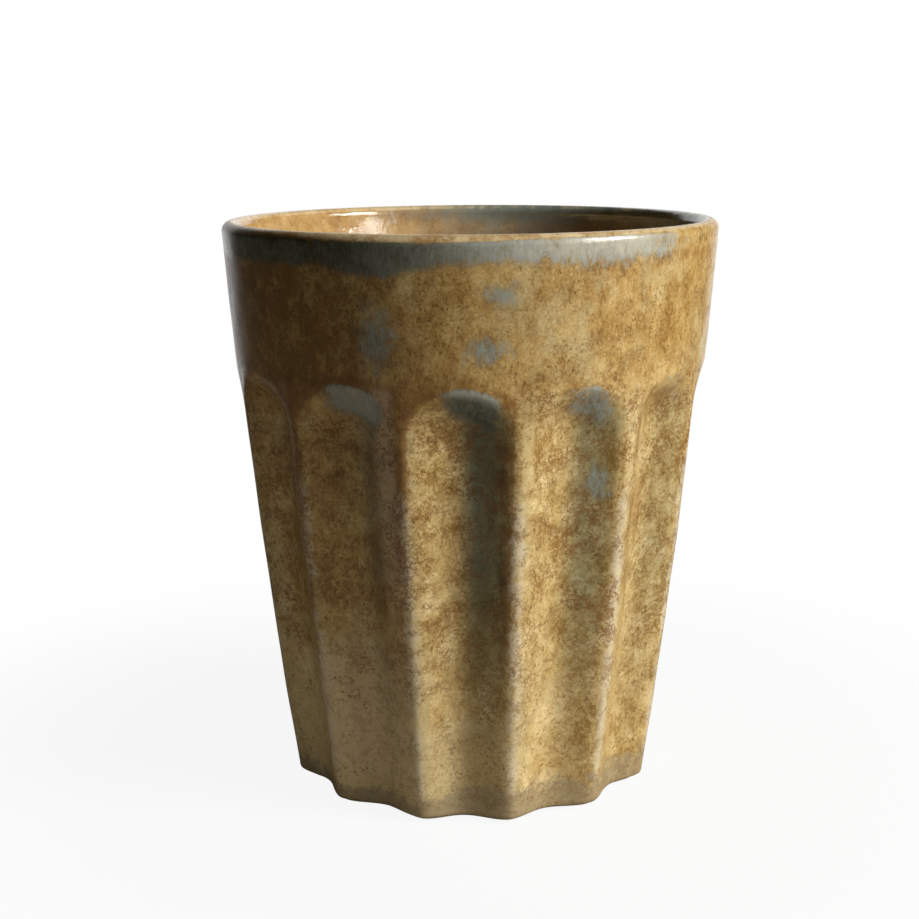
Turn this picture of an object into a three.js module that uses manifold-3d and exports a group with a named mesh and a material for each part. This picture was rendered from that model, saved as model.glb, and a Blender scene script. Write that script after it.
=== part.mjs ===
// Fluted stoneware latte cup: a fired clay body, a glaze coat outside and a liner glaze inside.
// Millimetres, +Z up. The origin is the middle of the foot, on the surface that the cup stands on.
import * as THREE from "three";
import { mergeVertices } from "three/addons/utils/BufferGeometryUtils.js";
import Module from "manifold-3d";

// Outside form, measured on the finished glaze
const HEIGHT = 100; // table to the crest of the lip
const MOUTH_RADIUS = 43.5; // at the height of the crest
const FOOT_RADIUS = 33; // at the table, before fluting and rounding
const SWELL = 0.9; // how far the wall bellies out past a straight taper, at half height
const LIP_THICKNESS = 3.2; // full round

// Flutes: troughs between soft crests, with round heads, which run out through the foot
const FLUTES = 13;
const FLUTE_TOP = 76; // where the heads have run out into the wall
const HEAD_BLUNTNESS = 1.4; // 1 is round, and more is squarer and steeper at the top
const FLUTE_DEPTH = 3.6;
const FOOT_DEPTH = 2.5; // where the flutes run out through the foot
const FOOT_EASE = 12; // height at which they reach their full depth
const CREST_SOFTNESS = 1.6; // 1 is a gouged trough between sharp crests, and 2 an even wave

// Inside, measured on the finished liner
const FLOOR_HEIGHT = 7; // table to the inside floor
const WALL_AT_FLOOR = 5.6; // from the bottom of a flute to the inside, at floor height
const COVE_RADIUS = 8; // where the wall turns into the floor

// Foot
const FOOT_ROUNDING = 2;
const FOOT_FACE = 4.5; // narrowest width of the flat ring that stands on the table
const RECESS_DEPTH = 2; // hollow inside that ring
const BARE_FOOT = 1; // clay wiped clean of glaze above the table

const GLAZE = 0.5; // thickness of both coats

// Facets: across a flute, along a quarter arc and up the arch of a flute
const SEEN = { flute: 12, arc: 3, arch: 8 }; // the glaze outside
const BACKED = { flute: 6, arc: 3, arch: 4 }; // the clay and the liner
const CUT_MARGIN = 1; // how far a cutting form stands past what it cuts

const FLUTE_PITCH = (2 * Math.PI) / FLUTES;
const NOSE_HEIGHT = FLUTE_TOP - (wallRadius(FLUTE_TOP) * FLUTE_PITCH) / 2; // where the round heads begin

const LIP_RADIUS = LIP_THICKNESS / 2;
const LIP_CENTRE = new THREE.Vector2(wallRadius(HEIGHT - LIP_RADIUS) - LIP_RADIUS, HEIGHT - LIP_RADIUS);

// Radius of the plain turned form at a height: a straight taper with a slight swell.
function wallRadius(z) {
  const t = z / HEIGHT;
  return THREE.MathUtils.lerp(FOOT_RADIUS, MOUTH_RADIUS, t) + 4 * SWELL * t * (1 - t);
}

// How deep the flutes cut at a height and an angle from the front. Across a flute the cut is a trough from one
// crest to the next, and above the nose the same trough runs round the head.
function fluteCut(z, angle) {
  const across = (2 * angle) / FLUTE_PITCH - 2 * Math.round(angle / FLUTE_PITCH);
  const pastNose = (Math.max(0, z - NOSE_HEIGHT) / (FLUTE_TOP - NOSE_HEIGHT)) ** HEAD_BLUNTNESS;
  const away = (Math.PI / 2) * Math.min(1, Math.hypot(across, pastNose));
  const depth = THREE.MathUtils.lerp(FOOT_DEPTH, FLUTE_DEPTH, THREE.MathUtils.smoothstep(z, 0, FOOT_EASE));
  return depth * Math.max(0, Math.cos(away)) ** CREST_SOFTNESS;
}

// Points of an arc in the profile plane, x outwards and y up.
function arc(centre, radius, from, to, steps) {
  return new THREE.EllipseCurve(centre.x, centre.y, radius, radius, from, to, from > to).getPoints(steps);
}

// Outside profile from startHeight, in the rounding of the foot, to the crest of the lip. It is inset
// under the surface of the glaze, and has extra points where the flutes' arches need them.
function outsideProfile(inset, startHeight, facets) {
  const footCentre = new THREE.Vector2(wallRadius(FOOT_ROUNDING) - inset - FOOT_ROUNDING, FOOT_ROUNDING);
  const footAngle = -Math.asin(1 - startHeight / FOOT_ROUNDING);
  const nose = new THREE.Vector2(0, NOSE_HEIGHT);
  const archHeights = arc(nose, FLUTE_TOP - NOSE_HEIGHT, 0, Math.PI / 2, facets.arch).map((point) => point.y);
  const heights = [FOOT_EASE, (FOOT_EASE + NOSE_HEIGHT) / 2, ...archHeights];
  return [
    ...arc(footCentre, FOOT_ROUNDING, footAngle, 0, facets.arc),
    ...heights.map((z) => new THREE.Vector2(wallRadius(z) - inset, z)),
    ...arc(LIP_CENTRE, LIP_RADIUS - inset, 0, Math.PI / 2, facets.arc),
  ];
}

// Inside profile from the crest of the lip to the middle of the floor, inset behind the liner's surface.
function insideProfile(inset, facets) {
  const lipInside = LIP_CENTRE.x - LIP_RADIUS;
  const floorRadius = wallRadius(FLOOR_HEIGHT) - FLUTE_DEPTH - WALL_AT_FLOOR;
  const lean = Math.atan((lipInside - floorRadius) / (LIP_CENTRE.y - FLOOR_HEIGHT));
  const coveWall = floorRadius + COVE_RADIUS * Math.tan(lean);
  const coveCentre = new THREE.Vector2(coveWall - COVE_RADIUS / Math.cos(lean), FLOOR_HEIGHT + COVE_RADIUS);
  return [
    ...arc(LIP_CENTRE, LIP_RADIUS - inset, Math.PI / 2, Math.PI, facets.arc),
    ...arc(coveCentre, COVE_RADIUS + inset, -lean, -Math.PI / 2, facets.arc + 1),
    new THREE.Vector2(0, FLOOR_HEIGHT - inset),
  ];
}

// Underside profile from the axis to the inner edge of the standing ring.
function recessProfile(facets) {
  const edge = wallRadius(FOOT_ROUNDING) - GLAZE - FOOT_DEPTH - FOOT_ROUNDING - FOOT_FACE;
  const corner = new THREE.Vector2(edge - RECESS_DEPTH, 0);
  return [new THREE.Vector2(0, RECESS_DEPTH), ...arc(corner, RECESS_DEPTH, Math.PI / 2, 0, facets.arc)];
}

// Turns a profile about the axis, then flutes those of its points that are in the fluted list.
function turned(profile, fluted, facets) {
  const geometry = new THREE.LatheGeometry(profile, FLUTES * facets.flute);
  const position = geometry.getAttribute("position");
  const cutRows = new Set(fluted);
  const spot = new THREE.Vector3();
  for (let i = 0; i < position.count; i++) {
    const row = profile[i % profile.length];
    if (!cutRows.has(row)) continue;
    spot.fromBufferAttribute(position, i);
    const keep = 1 - fluteCut(row.y, Math.atan2(spot.x, spot.z)) / row.x;
    position.setXYZ(i, spot.x * keep, spot.y, spot.z * keep);
  }
  return geometry.rotateX(Math.PI / 2);
}

const wasm = await Module();
wasm.setup();

function solidFrom(geometry) {
  geometry.deleteAttribute("normal");
  geometry.deleteAttribute("uv");
  const merged = mergeVertices(geometry);
  const vertProperties = merged.getAttribute("position").array;
  const triVerts = new Uint32Array(merged.index.array);
  return new wasm.Manifold(new wasm.Mesh({ numProp: 3, vertProperties, triVerts }));
}

function geometryFrom(solid) {
  const { vertProperties, triVerts } = solid.getMesh();
  return new THREE.BufferGeometry()
    .setAttribute("position", new THREE.BufferAttribute(vertProperties, 3))
    .setIndex(new THREE.BufferAttribute(triVerts, 1));
}

// The fired clay: fluted outside, smooth inside, standing on a bare ring with a hollow inside it.
function stonewareBody() {
  const outside = outsideProfile(GLAZE, 0, BACKED);
  const profile = [...recessProfile(BACKED), ...outside, ...insideProfile(GLAZE, BACKED)];
  return turned(profile, outside, BACKED);
}

// The glaze coat outside, from the wiped foot to the crest of the lip: the glazed form less the clay.
function outerGlaze() {
  const coat = outsideProfile(0, BARE_FOOT, SEEN);
  const coated = [new THREE.Vector2(0, BARE_FOOT), ...coat, new THREE.Vector2(0, HEIGHT)];
  const clay = outsideProfile(GLAZE, 0, BACKED);
  const above = HEIGHT + CUT_MARGIN;
  const core = [
    new THREE.Vector2(0, 0),
    ...clay,
    new THREE.Vector2(LIP_CENTRE.x, above),
    new THREE.Vector2(0, above),
  ];
  const coatedForm = solidFrom(turned(coated, coat, SEEN));
  return geometryFrom(coatedForm.subtract(solidFrom(turned(core, clay, BACKED))));
}

// The liner glaze inside, from the crest of the lip over the floor.
function linerGlaze() {
  const behind = insideProfile(GLAZE, BACKED).reverse();
  return turned([...behind, ...insideProfile(0, BACKED)], [], BACKED);
}

const CLAY = new THREE.MeshStandardMaterial({ color: 0xb59a78, roughness: 0.9, metalness: 0 });
const OCHRE_GLAZE = new THREE.MeshStandardMaterial({ color: 0xa98a55, roughness: 0.45, metalness: 0 });
const LINER_GLAZE = new THREE.MeshStandardMaterial({ color: 0x9a7a48, roughness: 0.25, metalness: 0 });

function piece(name, geometry, material) {
  const mesh = new THREE.Mesh(geometry, material);
  mesh.name = name;
  return mesh;
}

const cup = new THREE.Group();
cup.name = "latte_cup";
cup.add(
  piece("stoneware_body", stonewareBody(), CLAY),
  piece("outer_glaze", outerGlaze(), OCHRE_GLAZE),
  piece("liner_glaze", linerGlaze(), LINER_GLAZE),
);

export default cup;
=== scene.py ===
"""A fluted stoneware latte cup: mottled ochre glaze outside, glossy liner inside, bare clay foot.

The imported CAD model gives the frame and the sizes. Three surfaces worked out with numpy stand for its three
nodes: the glaze coat outside, the liner glaze and the clay between them. Sizes are in millimetres until a
mesh is made. An angle round the cup is 0 at -Y, through the middle of a flute, and grows towards +X.
"""
import math
from collections import namedtuple

import bpy
import numpy as np
from mathutils import Matrix, Vector


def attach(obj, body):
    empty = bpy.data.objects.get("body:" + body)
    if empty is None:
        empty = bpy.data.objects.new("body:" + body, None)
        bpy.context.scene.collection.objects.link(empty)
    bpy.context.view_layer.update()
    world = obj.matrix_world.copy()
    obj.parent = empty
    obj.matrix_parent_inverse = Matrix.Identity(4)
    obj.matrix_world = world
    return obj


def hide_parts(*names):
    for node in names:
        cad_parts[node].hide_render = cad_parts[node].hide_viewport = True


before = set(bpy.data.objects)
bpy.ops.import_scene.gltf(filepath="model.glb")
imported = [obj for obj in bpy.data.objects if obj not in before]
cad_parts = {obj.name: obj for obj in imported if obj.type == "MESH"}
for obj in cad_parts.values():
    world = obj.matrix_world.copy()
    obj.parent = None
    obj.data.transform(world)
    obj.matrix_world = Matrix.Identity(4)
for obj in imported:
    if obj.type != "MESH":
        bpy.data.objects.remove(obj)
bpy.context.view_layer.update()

MM = 0.001

# Form of the cup, as in the CAD model
HEIGHT = 100.0
MOUTH_RADIUS = 43.5
FOOT_RADIUS = 33.0
SWELL = 0.9
LIP_RADIUS = 1.6
FLUTES = 13
FLUTE_TOP = 76.0
HEAD_BLUNTNESS = 1.4
FLUTE_DEPTH = 3.6
FOOT_DEPTH = 2.5
FOOT_EASE = 12.0
CREST_SOFTNESS = 1.6
FLOOR_HEIGHT = 7.0
WALL_AT_FLOOR = 5.6
COVE_RADIUS = 8.0
FOOT_ROUNDING = 2.0
FOOT_FACE = 4.5
RECESS_DEPTH = 2.0
BARE_FOOT = 1.0
GLAZE = 0.5

FLUTE_PITCH = 2 * math.pi / FLUTES
LIP_HEIGHT = HEIGHT - LIP_RADIUS

# Columns round each mesh, rows along each part of a profile, and the shares of those rows that a side has
COAT_COLUMNS = FLUTES * 36
LINER_COLUMNS = FLUTES * 20
CLAY_COLUMNS = FLUTES * 24
FOOT_ROWS = 8
STRAIGHT_ROWS = 40
ARCH_ROWS = 34
BAND_ROWS = 30
LIP_ROWS = 14
WALL_ROWS = 40
COVE_ROWS = 16
FLOOR_ROWS = 14
RECESS_ROWS = 10
SEEN_SHARE = 1.0
COAT_BACK_SHARE = 0.35
LINER_BACK_SHARE = 0.5
CLAY_SHARE = 0.6

# How far the close rows of the arches go on above them, where the lip's arc starts in degrees, and the
# radius under which a row is one point on the axis
ARCH_MARGIN = 0.5
LIP_START = -4
ON_AXIS = 1e-9

# Unevenness of the hand: each wave's height, count round the cup, phase, and turn for each millimetre up.
# The waves come in over the ramp, above the start and below the lip
WOBBLE = (
    (0.06, 3, 0.8, 0.03),
    (0.04, 5, 0.0, -0.11),
    (0.03, 11, 1.9, 0.21),
    (0.02, 23, 0.0, -0.37),
)
WOBBLE_START = 4.0
WOBBLE_RAMP = 12.0

# The one crest that stands off its even place: where, how wide the change is, and by how much, in degrees
MOVED_CREST = -13.0
MOVED_WIDTH = 9.0
MOVED_BY = 1.2

# Camera, fitted to the outline in the photograph
CAMERA_DISTANCE = 278.0
CAMERA_HEIGHT = 116.85
CAMERA_ANGLE = math.radians(2.9)
CAMERA_PITCH = math.radians(12.28)
CAMERA_YAW = math.radians(0.438)
CAMERA_ROLL = math.radians(-0.405)
CAMERA_LENS = 61.14
CAMERA_SENSOR = 36.0
CAMERA_NEAR = 0.01

# Lamps: angle round the cup, elevation and cone in degrees, distance, size and height of the aim in metres,
# power in watts, and softness of the cone's edge
LAMPS = {
    "key_lamp": {
        "angle": 72, "elevation": 31, "distance": 1.2, "size": 0.50,
        "power": 56.0, "cone": 38.0, "softness": 0.35, "aim": 0.045,
    },
    "window_lamp": {
        "angle": 58, "elevation": 14, "distance": 1.2, "size": 0.30,
        "power": 9.0, "cone": 38.0, "softness": 0.35, "aim": 0.045,
    },
    "bounce_lamp": {
        "angle": -29, "elevation": 5, "distance": 0.6, "size": 0.12,
        "power": 2.7, "cone": 10.5, "softness": 1.0, "aim": 0.010,
    },
}
LAMP_COLOUR = (1.0, 0.98, 0.94)

# Floor and backdrop, with lengths in metres
WHITE = (1, 1, 1, 1)
FILL_LEVEL = 0.004
FILL_COLOUR = (1.0, 0.98, 0.95, 1)
BACKDROP_LEVEL = 1.0
BACKDROP_WAY = (-0.10, 0.995, 0.0)
BACKDROP_RISE = (0.79, 0.86)
FAN_END = (0.70, 0.80)
FAN_START = (0.06, 0.16)
FAN_LEAN = 0.16
FAN_NEAREST = 0.01
FLOOR_SIZE = 6.0
FLOOR_SIDES = 96
FLOOR_DROP = 0.00005
FLOOR_WHITE = 0.91
FLOOR_BOUNCE = (0.36, 0.31, 0.24, 1)
FLOOR_GRAIN = (40.0, 2.0, 0.55)
FLOOR_DARK = (0.80, 0.80, 0.79, 1)
FLOOR_PALE = (0.84, 0.84, 0.83, 1)
SHADOW_FADE = (0.06, 0.15)


# Shapes

def wall_radius(z):
    """Radius of the plain turned form at height z: a straight taper plus a parabola of height SWELL."""
    t = z / HEIGHT
    return FOOT_RADIUS + (MOUTH_RADIUS - FOOT_RADIUS) * t + 4 * SWELL * t * (1 - t)


LIP_CENTRE = wall_radius(LIP_HEIGHT) - LIP_RADIUS
NOSE_HEIGHT = FLUTE_TOP - wall_radius(FLUTE_TOP) * FLUTE_PITCH / 2


def fade(low, high, value):
    """Smooth step from 0 at low to 1 at high."""
    t = np.clip((value - low) / (high - low), 0, 1)
    return t * t * (3 - 2 * t)


def signed_degrees(angle):
    """An angle in degrees, from -180 to 180."""
    return np.degrees((angle + math.pi) % (2 * math.pi) - math.pi)


def flute_across(angle):
    """Place across the nearest flute: -1 and 1 on the crests beside it, 0 in its middle."""
    return 2 * angle / FLUTE_PITCH - 2 * np.round(angle / FLUTE_PITCH)


def flute_away(z, angle):
    """Distance from the middle line of the nearest flute and from its nose, where 1 is the flute's edge.

    It is the hypotenuse of the place across the flute and the share of the head that lies below z, which is
    raised to a power that makes the head blunt.
    """
    past_nose = np.maximum(0, z - NOSE_HEIGHT) / (FLUTE_TOP - NOSE_HEIGHT)
    return np.hypot(flute_across(angle), past_nose**HEAD_BLUNTNESS)


def flute_cut(z, angle):
    """Depth of the flutes at height z and an angle.

    It is a power of the cosine of the way from a flute's middle to its edge. Above the nose the same trough
    runs round the head, and towards the foot it is a little shallower.
    """
    away = np.clip(flute_away(z, angle), 0, 1) * math.pi / 2
    depth = FOOT_DEPTH + (FLUTE_DEPTH - FOOT_DEPTH) * fade(0, FOOT_EASE, z)
    return depth * np.maximum(0, np.cos(away)) ** CREST_SOFTNESS


def arc(centre_r, centre_z, radius, start, end, count):
    """Profile points on a circle, from one angle to another in degrees, as rows of radius and height."""
    a = np.radians(np.linspace(start, end, count))
    return np.stack([centre_r + radius * np.cos(a), centre_z + radius * np.sin(a)], 1)


def wall(heights, inset):
    """Profile points on the turned form at the given heights, inset behind it."""
    return np.stack([wall_radius(heights) - inset, heights], 1)


def outside_profile(inset, start_height, share):
    """Outside of the cup: the rounding of the foot, the wall, and the outer quarter of the round lip."""
    foot_r = wall_radius(FOOT_ROUNDING) - inset - FOOT_ROUNDING
    foot_start = -math.degrees(math.asin(1 - start_height / FOOT_ROUNDING))
    arch_end = FLUTE_TOP + ARCH_MARGIN
    straight = np.linspace(FOOT_ROUNDING, NOSE_HEIGHT, int(STRAIGHT_ROWS * share))[1:]
    arch = np.linspace(NOSE_HEIGHT, arch_end, int(ARCH_ROWS * share))[1:]
    band = np.linspace(arch_end, LIP_HEIGHT, int(BAND_ROWS * share))[1:-1]
    return np.concatenate([
        arc(foot_r, FOOT_ROUNDING, FOOT_ROUNDING, foot_start, 0, int(FOOT_ROWS * share)),
        wall(np.concatenate([straight, arch, band]), inset),
        arc(LIP_CENTRE, LIP_HEIGHT, LIP_RADIUS - inset, LIP_START, 90, int(LIP_ROWS * share)),
    ])


def inside_profile(inset, share):
    """Inside of the cup: the inner part of the round lip, a straight wall, the cove, and the flat floor."""
    lip_inside = LIP_CENTRE - LIP_RADIUS
    floor_radius = wall_radius(FLOOR_HEIGHT) - FLUTE_DEPTH - WALL_AT_FLOOR
    lean = math.atan((lip_inside - floor_radius) / (LIP_HEIGHT - FLOOR_HEIGHT))
    turn = math.degrees(lean)
    cove_r = floor_radius + COVE_RADIUS * math.tan(lean) - COVE_RADIUS / math.cos(lean)
    cove_z = FLOOR_HEIGHT + COVE_RADIUS
    lip = arc(LIP_CENTRE, LIP_HEIGHT, LIP_RADIUS - inset, 90, 180 + turn, int(LIP_ROWS * share))
    cove = arc(cove_r, cove_z, COVE_RADIUS + inset, -turn, -90, int(COVE_ROWS * share))
    between = np.linspace(lip[-1], cove[0], int(WALL_ROWS * share))[1:-1]
    floor = np.linspace(cove[-1], (0, FLOOR_HEIGHT - inset), int(FLOOR_ROWS * share))[1:]
    return np.concatenate([lip, between, cove, floor])


def recess_profile():
    """Underside from the axis across the hollow of the foot to the inner edge of the standing ring."""
    edge = wall_radius(FOOT_ROUNDING) - GLAZE - FOOT_DEPTH - FOOT_ROUNDING - FOOT_FACE
    corner = arc(edge - RECESS_DEPTH, 0, RECESS_DEPTH, 90, 0, RECESS_ROWS)
    middle = np.linspace((0, RECESS_DEPTH), corner[0], RECESS_ROWS)[:-1]
    return np.concatenate([middle, corner])


def hand_wobble(z, angle):
    """Slow unevenness of a hand-finished wall: the sum of a few sine waves that run round and up the cup."""
    return sum(high * np.sin(count * angle + phase + turn * z) for high, count, phase, turn in WOBBLE)


def hand_spacing(angle):
    """Where evenly spaced flutes would have each angle: near one crest it is less, by a bell curve."""
    off = (signed_degrees(angle) - MOVED_CREST) / MOVED_WIDTH
    return angle - np.radians(MOVED_BY) * np.exp(-(off**2))


def turned_grid(profile, fluted, columns):
    """Carries a profile round the axis and cuts the flutes into its fluted rows: arrays of rows by columns.

    A fluted row has the profile's radius, less the cut of the flutes and the wobble of the hand, which fades
    out at the lip and the foot. Returns radius, height and angle.
    """
    angle = np.linspace(0, 2 * math.pi, columns, endpoint=False)[None, :]
    radius = profile[:, :1]
    height = profile[:, 1:]
    sway = np.clip(np.minimum(height - WOBBLE_START, LIP_HEIGHT - height) / WOBBLE_RAMP, 0, 1)
    cut = flute_cut(height, hand_spacing(angle)) + sway * hand_wobble(height, angle)
    turned = np.where(fluted[:, None], radius - cut, radius)
    return turned, height + 0 * angle, angle + 0 * height


def grid_mesh(name, radius, height, angle, closed_loop):
    """A mesh from a grid that closes round its columns. Rows end on the axis, or join up in a loop.

    Rows whose radius is zero become one point each. Returns the piece, and which grid points it keeps.
    """
    rows, columns = radius.shape
    poles = radius.max(1) < ON_AXIS
    first = np.concatenate([[0], np.cumsum(np.where(poles, 1, columns))])
    step = np.where(poles, 0, 1)[:, None]
    index = first[:-1, None] + step * np.arange(columns)[None, :]
    places = np.stack([radius * np.sin(angle), -radius * np.cos(angle), height], -1) * MM
    keep = np.ones((rows, columns), bool)
    keep[poles, 1:] = False
    low = index if closed_loop else index[:-1]
    high = np.roll(index, -1, 0) if closed_loop else index[1:]
    quads = np.stack([low, np.roll(low, -1, 1), np.roll(high, -1, 1), high], -1).reshape(-1, 4)
    shut_low = quads[:, 0] == quads[:, 1]
    shut_high = quads[:, 2] == quads[:, 3]
    faces = quads[~shut_low & ~shut_high].tolist()
    faces += quads[shut_low][:, [0, 2, 3]].tolist()
    faces += quads[shut_high][:, [0, 1, 2]].tolist()
    mesh = bpy.data.meshes.new(name)
    mesh.from_pydata(places[keep].tolist(), [], faces)
    mesh.polygons.foreach_set("use_smooth", np.ones(len(faces), bool))
    mesh.update()
    piece = bpy.data.objects.new(name, mesh)
    bpy.context.scene.collection.objects.link(piece)
    return piece, keep


def set_mask(piece, name, values):
    """Stores one number for each point of a piece, for its material to read."""
    layer = piece.data.attributes.new(name, "FLOAT", "POINT")
    layer.data.foreach_set("value", values.astype(np.float32))


# Where the glaze gathers and thins

# A pair of numbers is where a smooth change begins and ends. Two pairs are where something rises and where
# it falls again. Places round the cup are in degrees, heights and reaches in millimetres, ACROSS and AWAY as
# flute_across and flute_away give them, and NOSE heights count from the nose of a flute.

# Sides of the cup
FACING_END = (90, 150)
BEHIND_START = (100, 140)
FRONT_LEFT = ((-95, -70), (-14, 22))
DIM_SIDE = ((-160, -120), (-36, 0))
FAR_MIDDLE = 132
FAR_END = (30, 100)

# The crown of the lip, of thin glaze
CROWN_START = HEIGHT - 1.5
CROWN_RAISED = 0.5
CROWN_RAISED_AT = ((-5, 25), (90, 150))
CROWN_BLEND = 0.9
CROWN_DIM_AT = ((-175, -120), (-45, -5))
CROWN_DIM_LOSS = 0.45
CROWN_FAR_LOSS = 0.6

# The grey band under the lip. Each dip of its lower edge has an angle, a width and a depth
BAND_REACH = 1.5
BAND_REACH_LEFT = 1.7
BAND_BEHIND_SHARE = 0.7
BAND_DIPS = ((-17, 10, 1.3), (150, 14, 0.9))
BAND_BLEND = 1.2
BAND_EDGE = 2.0
BAND_EDGE_SOFT = 3.0
BAND_SOFT_AT = ((-5, 30), (90, 130))
BAND_LEVEL = 0.85
BAND_END = ((36, 66), (95, 130))
BAND_END_LOSS = 0.7
BAND_POOL = 1.35
# Where the band turns paler towards the key lamp: thinner glaze and painted light
BAND_CREAM_LIT_START = (-20, 26)
UNDER_BAND = ((-5.0, -1.0), (-1.0, 0.6))
UNDER_BAND_RUST = 0.7
UNDER_BAND_START = (10, 50)

# Drifts of blue-grey glaze: angle, height, half width, half height, strength
DRIFTS = (
    (-17, 84, 3.8, 7.5, 1.1),
    (6, 82.5, 4.0, 2.8, 1.25),
    (9, 91, 3.8, 2.4, 1.1),
    (35, 59.5, 2.2, 3.8, 1.25),
    (-52, 87, 3.0, 3.0, 0.5),
    (118, 83, 3.4, 4.2, 0.7),
    (163, 90, 4.2, 2.6, 0.7),
    (-128, 80, 2.8, 4.6, 0.7),
)
DRIFT_EVENNESS = 0.6
DRIFT_CREAM = 0.4

# Each flute, from the front one round towards +X: how much glaze gathers in its head, partly painted shade
# under the head, how pale it is there, how much painted shade darkens its right side, how milky that side's
# glaze is, and how much rust shows beside it, partly painted shade
HEAD_POOLING_AND_SHADE = (1.15, 0.75, 0.4, 0.5, 0.9, 0.6, 0.8, 0.5, 0.9, 0.7, 0.6, 0.5, 1.1)
HEAD_PALENESS = (0.0, 0.5, 0.4, 0.2, 0.0, 0.3, 0.1, 0.4, 0.0, 0.2, 0.3, 0.5, 0.55)
PAINTED_SHADE_LEVEL = (1.0, 0.7, 0.4, 0.5, 0.8, 0.6, 0.9, 0.4, 0.8, 0.5, 0.7, 0.3, 0.6)
RUN_HAZE = (0.0, 0.0, 0.0, 0.4, 0.0, 0.5, 0.0, 0.6, 0.0, 0.5, 0.0, 0.3, 0.9)
FLANK_RUST_AND_SHADE = (0.8, 0.25, 0.2, 0.5, 0.7, 0.4, 0.8, 0.3, 0.6, 0.4, 0.7, 0.5, 0.7)

# Heads of the flutes: gathered glaze, partly painted shade under the head on its right, with a pale cap along
# their edge
HEAD_AWAY = ((0.15, 0.60), (0.96, 1.14))
HEAD_NOSE = (0, 6)
HEAD_ACROSS = ((-0.55, 0.0), (0.45, 0.95))
HEAD_POOL_AND_SHADE = 1.2
CAP_AWAY = (0.78, 0.98)
CAP_HEIGHT = (FLUTE_TOP - 18, FLUTE_TOP - 10)
CAP_PALENESS = 0.7

# Painted shade down the right sides of the flutes, where they face away from the key lamp, tinted teal; milky
# glaze on some of their sides; and a milky patch low in one of them, which is painted bounce light
PAINTED_SHADE_ACROSS = ((-0.15, 0.35), (0.70, 1.0))
PAINTED_SHADE_NOSE = ((-60, -18), (3, 9))
PAINTED_SHADE_INSET = 0.35
TEAL_ACROSS = (0.30, 0.75)
TEAL_NOSE = (-32, -12)
TEAL_LEVEL = 0.7
HAZE_ACROSS = ((0.30, 0.60), (0.80, 0.95))
HAZE_NOSE = (-36, -6)
MILKY_BOUNCE_AT = ((-52, -42), (-19, -13))
MILKY_BOUNCE_HEIGHT = ((3, 8), (18, 40))
MILKY_BOUNCE_LEVEL = 0.5

# Rust on the lands between the heads, and on the flanks of the flutes rust with painted shade, on the side
# away from the key lamp
LAND_AWAY = (0.80, 1.0)
LAND_NOSE = (-22, -2)
LAND_FALL = (FLUTE_TOP - 3, FLUTE_TOP + 7)
LAND_CLEAR_AT = ((-5, 12), (60, 90))
LAND_CLEAR_LOSS = 0.9
FLANK_ACROSS = ((0.50, 0.80), (0.88, 0.98))
FLANK_HEIGHT = (16, 40)

# Crests, foot and veins
CREST_ACROSS = (0.74, 0.96)
CREST_RISE = (1.5, 4)
CREST_NOSE = (-12, 2)
FOOT_FULL = 2.2
FOOT_END = 6.0
FOOT_END_RAISED = 6.0
FOOT_RAISED_START = (-16, 4)
VEINED_ALL = 0.42
VEINED_FLUTES = 0.42
VEINED_HEIGHT = (14, 36)

# The plain band over the flutes, and the flute that is as warm as it
FLUTED_END = (FLUTE_TOP - 1, FLUTE_TOP + 1)
PLAIN_START = (FLUTE_TOP - 8, FLUTE_TOP + 4)
PLAIN_DIM_LOSS = 0.6
WARM_AT = ((-75, -50), (-22, -14))
WARM_HEIGHT = (24, 42)
WARM_LEVEL = 0.8

# Paler and deeper ochre, with painted light on the flutes' lit edges, painted bounce light low on the left,
# and painted shade over the dim side
LOW_END = (10, 34)
LOW_TONE = 0.16
LOW_LEFT_PAINTED_BOUNCE = 0.20
LOW_LEFT_END = (-8, 20)
LOW_RIGHT_TONE = -0.28
LOW_RIGHT_START = (14, 44)
HIGH_START = (26, 42)
HIGH_TONE = -0.10
LIT_EDGE_ACROSS = (-0.65, -0.9)
LIT_EDGE_PAINTED_LIGHT = 0.25
DIM_SIDE_PAINTED_SHADE = -0.45

# The grey wash inside, blue-grey glaze and on the far side partly painted shade, and the lip's crown on the
# liner
WASH_START = (HEIGHT - 22, HEIGHT - 10)
WASH_LOW = 0.55
WASH_FULL = (HEIGHT - 4.5, HEIGHT - 1.5)
LINER_CROWN = (HEIGHT - 1.1, HEIGHT - 0.5)


def within(zone, value):
    """1 inside a zone and 0 outside it: the product of a smooth rise and a smooth fall."""
    rise, fall = zone
    return fade(*rise, value) * (1 - fade(*fall, value))


def around_far(degrees):
    """1 round the far side of the mouth towards +X, where the glaze is grey, and 0 away from it. Inside, that
    grey is partly painted shade.
    """
    return 1 - fade(*FAR_END, np.abs((degrees - FAR_MIDDLE + 180) % 360 - 180))


def crown_strength(degrees):
    """How much the thin glaze on the lip shows: less on the grey far side and on the dim side towards -X."""
    dim = within(CROWN_DIM_AT, degrees)
    return (1 - CROWN_FAR_LOSS * around_far(degrees)) * (1 - CROWN_DIM_LOSS * dim)


Places = namedtuple("Places", "radius height nose degrees facing across away flute fluted")


def coat_places(radius, height, angle):
    """Where each point of the outside lies: round and up the cup, above a flute's nose, and in its flute."""
    degrees = signed_degrees(angle)
    spaced = hand_spacing(angle)
    return Places(
        radius=radius,
        height=height,
        nose=height - NOSE_HEIGHT,
        degrees=degrees,
        facing=1 - fade(*FACING_END, np.abs(degrees)),
        across=flute_across(spaced),
        away=flute_away(height, spaced),
        flute=np.round(spaced / FLUTE_PITCH).astype(int) % FLUTES,
        fluted=1 - fade(*FLUTED_END, height),
    )


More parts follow.
